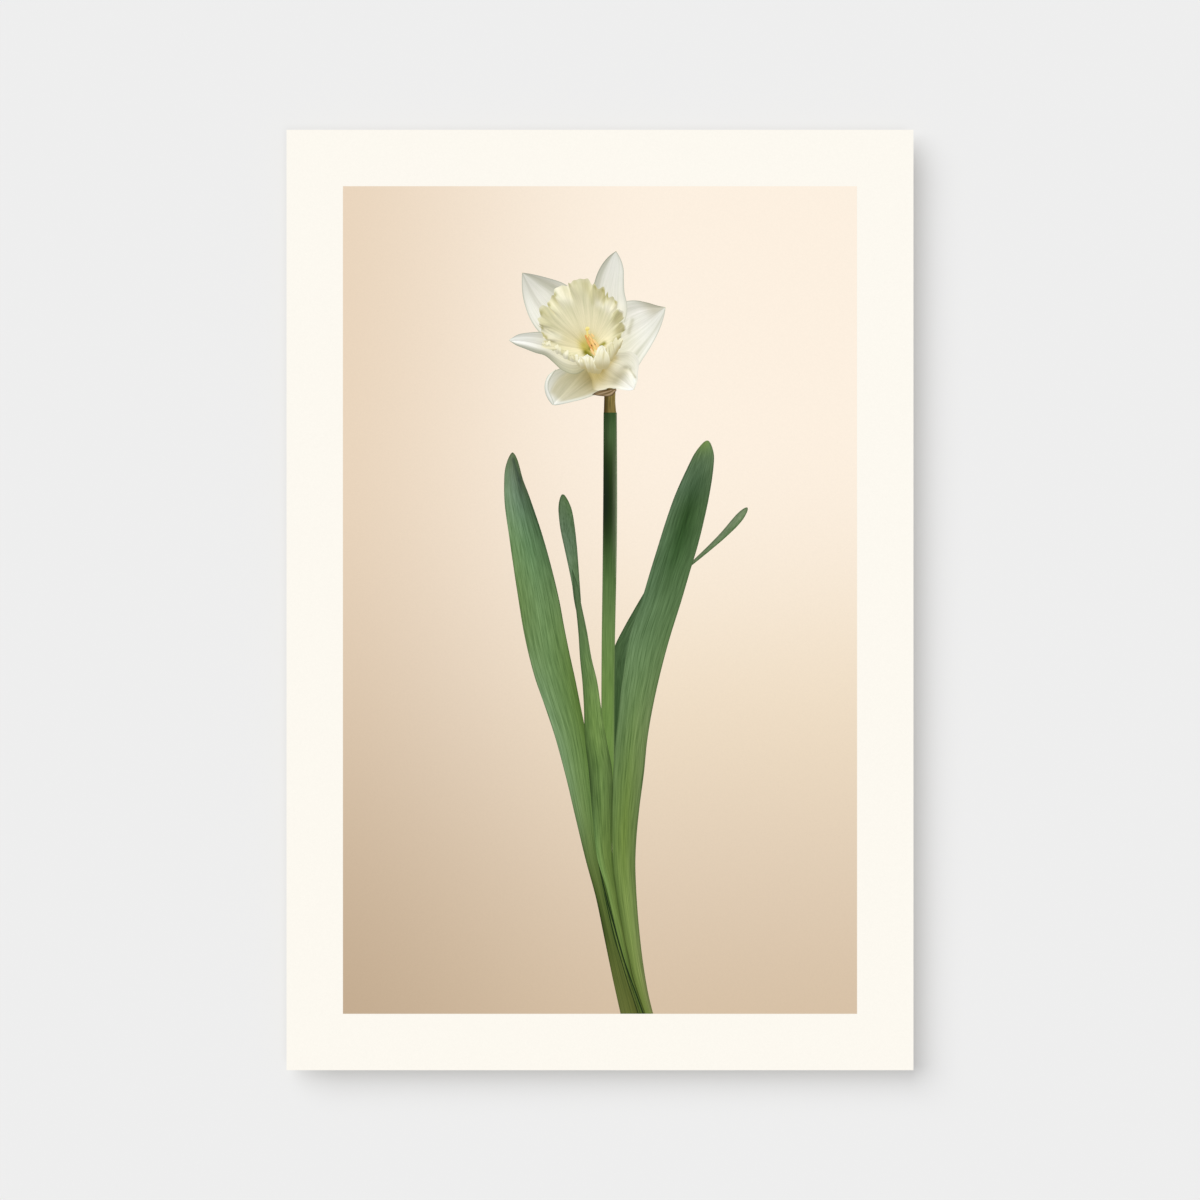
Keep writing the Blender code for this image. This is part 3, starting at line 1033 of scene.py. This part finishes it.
def plant_ink(plant, near, far):
    """The colour of each point of the plant, with its light worked in."""
    # form: how squarely each point faces the key light, which brightens or darkens the ink as painted light
    # and shade
    form = (plant.facing @ KEY_LIGHT + 0.62 * plant.facing[:, 1])[:, None]

    def light(through_share, depth):
        mixed = near * (1.0 - through_share) + far * through_share
        return np.maximum(mixed, 1e-4) ** depth

    petal_light = np.maximum(light(0.30, 0.60) * (1.07 + 0.42 * form), 0.02)
    frill = np.where((plant.tint == 1)[:, None], rim_lobe_colour(plant), pleat_colour(plant))
    inks = {
        LEAF: leaf_colour(plant) * light(0.05, 0.45) * (1.06 + 0.25 * form),
        STEM: stem_colour(plant),
        NECK: neck_colour(plant),
        BRACT_SKIN: bract_colour(plant),
        PETAL: petal_colour(plant) * petal_light ** np.array((1.0, 1.01, 1.12)),
        TRUMPET: trumpet_colour(plant) * light(0.35, 0.60) * (1.10 + 0.36 * np.clip(form, -0.5, 0.2)),
        FRILL: frill * light(0.25, 0.32) * (1.04 + 0.30 * np.clip(form, -0.5, 0.3)),
        ANTHER: anther_colour(plant) * light(0.0, 0.35),
        STIGMA: stigma_colour(plant) * light(0.0, 0.25),
    }
    colour = np.zeros(plant.at.shape)
    for kind, ink in inks.items():
        part = plant.kind == kind
        colour[part] = ink[part]
    return np.clip(colour, 0.0, 1.0)


# ---------------------------------------------------------------- laying it flat

FLOWER_SPACING = 0.52      # between points laid inside each part of the picture
GREEN_SPACING = 1.2
FOOT_SPACING = 0.7
GROUND_SPACING = 7.0
SHEET_STEP = 10.0          # between points along the sheet's edge
FRAME_STEP = 4.0           # and along the edge of the picture
CUT_SLACK = 1.5            # how far below the picture an outline is still followed
WELD = 0.004
READ_INSET = 0.06          # how far a corner's colour is read from inside its triangle


def seen_outlines(plant):
    """Edges, as pairs of (x, z), where one skin ends or folds away in the viewer's sight."""
    lines = []
    for patch in plant.patches:
        corners = patch.at[patch.quads]
        face_normal = np.cross(corners[:, 2] - corners[:, 0], corners[:, 3] - corners[:, 1])
        turned = face_normal[:, 1] > 0
        fold = turned[patch.fold_faces[:, 0]] != turned[patch.fold_faces[:, 1]]
        for a, b in patch.at[np.vstack([patch.rims, patch.folds[fold]])]:
            if plant.in_sight(*((a + b) / 2.0), 0.35):
                lines.append((a[[0, 2]], b[[0, 2]]))
    return lines


def hex_points(low, high, spacing):
    """A honeycomb of points inside a rectangle."""
    rows = int((high[1] - low[1]) / (spacing * 0.866))
    columns = int((high[0] - low[0]) / spacing)
    found = []
    for j in range(1, rows + 1):
        z = low[1] + (high[1] - low[1]) * j / (rows + 1)
        for i in range(columns):
            x = low[0] + spacing * (i + 0.5 * (j % 2) + 0.25)
            if x < high[0] - spacing * 0.3:
                found.append((x, z))
    return found


def rectangle(half_width, half_height, step):
    """Points round a rectangle, evenly spaced, and the edges that join them."""
    corners = [(-half_width, -half_height), (half_width, -half_height),
               (half_width, half_height), (-half_width, half_height)]
    points = []
    for (ax, az), (bx, bz) in zip(corners, corners[1:] + corners[:1]):
        parts = max(1, round(math.hypot(bx - ax, bz - az) / step))
        points += [(ax + (bx - ax) * k / parts, az + (bz - az) * k / parts) for k in range(parts)]
    return points, [(k, (k + 1) % len(points)) for k in range(len(points))]


def lay_flat(plant, half_width, half_height):
    """Triangles over the whole sheet that follow every outline in the picture."""
    picture_width = half_width - MARGIN
    picture_height = half_height - MARGIN
    points, edges = rectangle(half_width, half_height, SHEET_STEP)
    frame_points, frame_edges = rectangle(picture_width, picture_height, FRAME_STEP)
    edges += [(a + len(points), b + len(points)) for a, b in frame_edges]
    points += frame_points
    for a, b in seen_outlines(plant):
        if min(a[1], b[1]) >= -picture_height - CUT_SLACK:
            edges.append((len(points), len(points) + 1))
            points += [a, b]
    flower = (PETAL, TRUMPET, FRILL, ANTHER, STIGMA, BRACT_SKIN, NECK)
    fillings = (
        (flower, FLOWER_SPACING, (-62, 118), (48, 226)),
        ((LEAF, STEM), GREEN_SPACING, (-62, -picture_height), (98, 122)),
        ((LEAF,), FOOT_SPACING, (-12, -picture_height), (40, -165)),
        ((None,), GROUND_SPACING, (-picture_width, -picture_height), (picture_width, picture_height)),
    )
    for kinds, spacing, low, high in fillings:
        points += [place for place in hex_points(low, high, spacing) if plant.kind_at(*place) in kinds]
    result = delaunay_2d_cdt([Vector(place) for place in points], edges, [], 0, WELD)
    flat = np.array([tuple(v) for v in result[0]])
    faces = np.array(result[2])
    corners = flat[faces]
    first_side = corners[:, 1] - corners[:, 0]
    other_side = corners[:, 2] - corners[:, 0]
    area = first_side[:, 0] * other_side[:, 1] - first_side[:, 1] * other_side[:, 0]
    return flat, np.where((area > 0)[:, None], faces, faces[:, ::-1])


# Kind by kind: how strong the streaks are, and how long the part is in millimetres
STREAKS = np.array([1.3, 0.8, 1.2, 1.4, 0.28, 0.36, 0.25, 0.5, 0.2])
LENGTHS = np.array([360, 270, 20, 16, 60, 40, 10, 12, 8])
PATCH_SHIFT = 37.0         # keeps the streaks of neighbouring parts from matching


def read_ink(plant, colour, flat, faces, picture_width, picture_height):
    """Ink colour and streak direction at each corner of each triangle."""
    corners = flat[faces]
    middle = corners.mean(axis=1, keepdims=True)
    places = mix(corners, middle, READ_INSET)
    printed = (np.abs(middle[:, 0, 0]) < picture_width) & (np.abs(middle[:, 0, 1]) < picture_height)
    ink = np.tile(linear(PAPER_WHITE), (len(faces), 3, 1))
    ink[printed] = ground_colour(corners[printed, :, 0], corners[printed, :, 1])
    spots = []
    for f in np.flatnonzero(printed):
        for c in range(3):
            place, triangle = plant.look(*places[f, c])
            if triangle is not None:
                spots.append((f, c, triangle, *place))
    spots = np.array(spots)
    face, corner, number = spots[:, :3].astype(int).T
    place = spots[:, 3:6]
    triangle = plant.triangles[number]
    a, b, c = (plant.at[triangle[:, k]] for k in range(3))
    whole = np.linalg.norm(np.cross(b - a, c - a), axis=1) + 1e-12
    share_b = np.linalg.norm(np.cross(place - a, c - a), axis=1) / whole
    share_c = np.linalg.norm(np.cross(b - a, place - a), axis=1) / whole
    share = np.stack([np.clip(1 - share_b - share_c, 0, 1), share_b, share_c], axis=-1)
    share = share / share.sum(axis=1, keepdims=True)
    ink[face, corner] = (colour[triangle] * share[..., None]).sum(axis=1)
    one = triangle[:, 0]
    kind = plant.kind[one]
    across = (plant.across[triangle] * share).sum(axis=1) * plant.grain[one]
    across = across + plant.patch[one] * PATCH_SHIFT
    along = (plant.along[triangle] * share).sum(axis=1) * LENGTHS[kind]
    streak = np.zeros((len(faces), 3, 3))
    streak[face, corner] = np.stack([across, along, STREAKS[kind]], axis=-1)
    return ink, streak


# ---------------------------------------------------------------- materials

def connect(tree, node, inputs):
    """Link each input to the socket given for it, or set it to the value given."""
    for name, source in inputs.items():
        if isinstance(source, bpy.types.NodeSocket):
            tree.links.new(source, node.inputs[name])
        else:
            node.inputs[name].default_value = source


def add_node(tree, kind, inputs, **settings):
    """A new shader node's outputs, once it has its settings and inputs."""
    node = tree.nodes.new("ShaderNode" + kind)
    for name, value in settings.items():
        setattr(node, name, value)
    connect(tree, node, inputs)
    return node.outputs


def new_finish(name):
    """A new material, its node tree and its main shader."""
    finish = bpy.data.materials.new(name)
    finish.use_nodes = True
    return finish, finish.node_tree, finish.node_tree.nodes["Principled BSDF"]


def make_printed_paper():
    """Matte art paper whose front carries the ink: fine fibre tooth and streaked ink."""
    paper, tree, shader = new_finish("printed_paper")

    def sum_of(operation, a, b):
        return add_node(tree, "Math", {0: a, 1: b}, operation=operation)[0]

    def streaks(per_mm, stretch, detail, strength):
        """Long thin streaks that run along the part, darker and lighter than the ink."""
        place = add_node(tree, "CombineXYZ", {"X": sum_of("MULTIPLY", streak["X"], per_mm),
                                              "Y": sum_of("MULTIPLY", streak["Y"], per_mm / stretch)})
        noise = add_node(tree, "TexNoise", {"Vector": place[0], "Scale": 1.0, "Detail": detail})
        return sum_of("MULTIPLY", sum_of("SUBTRACT", noise[0], 0.5), strength)

    ink = add_node(tree, "Attribute", {}, attribute_name="ink")
    way = add_node(tree, "Attribute", {}, attribute_name="streak")
    streak = add_node(tree, "SeparateXYZ", {0: way["Vector"]})
    both = sum_of("ADD", streaks(1.7, 26.0, 3.0, 1.2), streaks(0.6, 50.0, 1.0, 0.7))
    amount = sum_of("MULTIPLY", both, streak["Z"])
    tint = add_node(tree, "VectorMath", {0: amount, 1: (1.05, 0.85, 1.15), 2: (1.0, 1.0, 1.0)},
                    operation="MULTIPLY_ADD")
    streaked = add_node(tree, "VectorMath", {0: ink["Color"], 1: tint[0]}, operation="MULTIPLY")

    place = add_node(tree, "TexCoord", {})["Object"]
    mottle = add_node(tree, "TexNoise", {"Vector": place, "Scale": 900.0, "Detail": 3.0})[0]
    grain = add_node(tree, "MapRange", {"Value": mottle, "To Min": 0.972, "To Max": 1.028})[0]
    grained = add_node(tree, "VectorMath", {0: streaked[0], "Scale": grain}, operation="SCALE")[0]
    tooth = add_node(tree, "Bump", {"Strength": 0.12, "Distance": 0.0002, "Height": mottle})
    connect(tree, shader, {"Base Color": grained, "Roughness": 0.88, "Specular IOR Level": 0.25,
                           "Normal": tooth["Normal"]})
    return paper


# ---------------------------------------------------------------- the piece

def add_object(name, data):
    """A new object in the scene, at the origin."""
    holder = bpy.data.objects.new(name, data)
    bpy.context.scene.collection.objects.link(holder)
    return holder


def add_piece(name, shape, material):
    """The finished bmesh as an object with one material."""
    data = bpy.data.meshes.new(name)
    shape.to_mesh(data)
    shape.free()
    data.materials.append(material)
    return add_object(name, data)


def open_edges(shape):
    """The edges with a face on one side only."""
    return [e for e in shape.edges if e.is_boundary]


def make_print(low, high):
    """The sheet: inked front, square edges and bare back, as one closed skin."""
    centre = (low + high) / 2.0
    half_width = (high.x - low.x) / 2.0 / MM
    half_height = (high.z - low.z) / 2.0 / MM
    plant = Plant(form_plant())
    near, far = light_plant(plant, RAYS)
    colour = plant_ink(plant, near, far)
    flat, faces = lay_flat(plant, half_width, half_height)
    ink, streak = read_ink(plant, colour, flat, faces, half_width - MARGIN, half_height - MARGIN)
    ink = np.clip(ink / LIGHT_ON_PAPER - SHEEN, 0.001, 1.0)

    sheet = bmesh.new()
    ink_layer = sheet.loops.layers.float_color.new("ink")
    streak_layer = sheet.loops.layers.float_vector.new("streak")
    verts = [sheet.verts.new((centre.x + x * MM, low.y, centre.z + z * MM)) for x, z in flat]
    for corners, inks, streaks in zip(faces, ink, streak):
        face = sheet.faces.new([verts[k] for k in corners])
        for loop, colour_here, streak_here in zip(face.loops, inks, streaks):
            loop[ink_layer] = (*colour_here, 1.0)
            loop[streak_layer] = streak_here
    wall = bmesh.ops.extrude_edge_only(sheet, edges=open_edges(sheet))["geom"]
    moved = [g for g in wall if isinstance(g, bmesh.types.BMVert)]
    bmesh.ops.translate(sheet, verts=moved, vec=(0.0, high.y - low.y, 0.0))
    bmesh.ops.contextual_create(sheet, geom=open_edges(sheet))
    bare = (*(linear(PAPER_WHITE) / LIGHT_ON_PAPER), 1.0)
    for face in sheet.faces:
        if len(face.verts) != 3:
            for loop in face.loops:
                loop[ink_layer] = bare
    bmesh.ops.recalc_face_normals(sheet, faces=sheet.faces)
    return add_piece("narcissus_print", sheet, make_printed_paper())


# ---------------------------------------------------------------- stage

WALL_GAP = 0.018
FLOOR_DROP = 0.7
STAGE_REACH = 12.0
WALL_SHADE = 0.822
FLOOR_SHADE = 0.80


def make_stage_paint(name, shade):
    """Dead matte grey paint."""
    paint, tree, shader = new_finish(name)
    connect(tree, shader, {"Base Color": (shade, shade, shade, 1.0), "Roughness": 1.0,
                           "Specular IOR Level": 0.0})
    return paint


def make_wall_paint():
    """The wall's paint, clear from behind so that the print's back can be seen."""
    paint = make_stage_paint("wall_paint", WALL_SHADE)
    tree = paint.node_tree
    side = add_node(tree, "NewGeometry", {})["Backfacing"]
    solid = tree.nodes["Principled BSDF"].outputs[0]
    clear = add_node(tree, "BsdfTransparent", {})[0]
    chosen = add_node(tree, "MixShader", {0: side, 1: solid, 2: clear})[0]
    connect(tree, tree.nodes["Material Output"], {"Surface": chosen})
    return paint


def make_plane(name, corners, material):
    """A large flat stage surface, out of the way of the light on the print's back."""
    shape = bmesh.new()
    shape.faces.new([shape.verts.new(c) for c in corners])
    plane = add_piece(name, shape, material)
    plane.visible_diffuse = False
    plane.visible_shadow = False
    return plane


def set_stage(low, high):
    """A pale wall just behind the print and a pale floor below it."""
    far = STAGE_REACH
    wall_y = high.y + WALL_GAP
    floor_z = low.z - FLOOR_DROP
    wall = make_plane("wall", [(-far, wall_y, floor_z), (far, wall_y, floor_z),
                               (far, wall_y, far), (-far, wall_y, far)], make_wall_paint())
    floor = make_plane("floor", [(-far, -far, floor_z), (far, -far, floor_z),
                                 (far, far, floor_z), (-far, far, floor_z)],
                       make_stage_paint("floor_paint", FLOOR_SHADE))


def add_sun(name, toward, strength, breadth):
    """A soft distant light that shines towards a direction."""
    lamp = bpy.data.lights.new(name, "SUN")
    lamp.energy = strength
    lamp.angle = math.radians(breadth)
    holder = add_object(name, lamp)
    holder.rotation_mode = "QUATERNION"
    holder.rotation_quaternion = Vector(toward).to_track_quat("-Z", "Y")


def set_light():
    """A soft key from the upper left, weak fills in front and behind, and the room's own light."""
    add_sun("key", toward=(0.60, 1.0, -0.54), strength=1.80, breadth=58.0)
    add_sun("fill", toward=(-0.15, 1.0, 0.20), strength=0.30, breadth=20.0)
    add_sun("back_fill", toward=(0.1, -1.0, -0.2), strength=0.2, breadth=60.0)
    room = bpy.data.worlds.new("room")
    bpy.context.scene.world = room
    room.use_nodes = True
    connect(room.node_tree, room.node_tree.nodes["Background"],
            {"Color": (1.0, 1.0, 1.0, 1.0), "Strength": 0.504})
    bpy.context.scene.view_settings.view_transform = "Standard"


def set_camera(low, high):
    """Square-on to the print, from far enough away to show it without perspective."""
    lens = 100.0
    sensor = 36.0
    frame_width = 0.7656
    camera = bpy.data.cameras.new("camera")
    camera.lens = lens
    camera.sensor_width = sensor
    holder = add_object("camera", camera)
    holder.location = (0.0, low.y - frame_width * lens / sensor, (low.z + high.z) / 2.0)
    holder.rotation_euler = (math.radians(90.0), 0.0, 0.0)
    bpy.context.scene.camera = holder


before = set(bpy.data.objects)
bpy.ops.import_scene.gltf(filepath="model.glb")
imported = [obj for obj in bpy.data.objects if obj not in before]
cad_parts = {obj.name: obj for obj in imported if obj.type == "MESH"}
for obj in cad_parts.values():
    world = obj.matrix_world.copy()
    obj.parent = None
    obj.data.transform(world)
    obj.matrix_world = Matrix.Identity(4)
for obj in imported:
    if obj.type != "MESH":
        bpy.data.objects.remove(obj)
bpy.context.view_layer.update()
sheet_low, sheet_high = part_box("print_sheet")
set_camera(sheet_low, sheet_high)
set_stage(sheet_low, sheet_high)
set_light()
print_piece = make_print(sheet_low, sheet_high)
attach(print_piece, "root")
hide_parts("print_sheet")
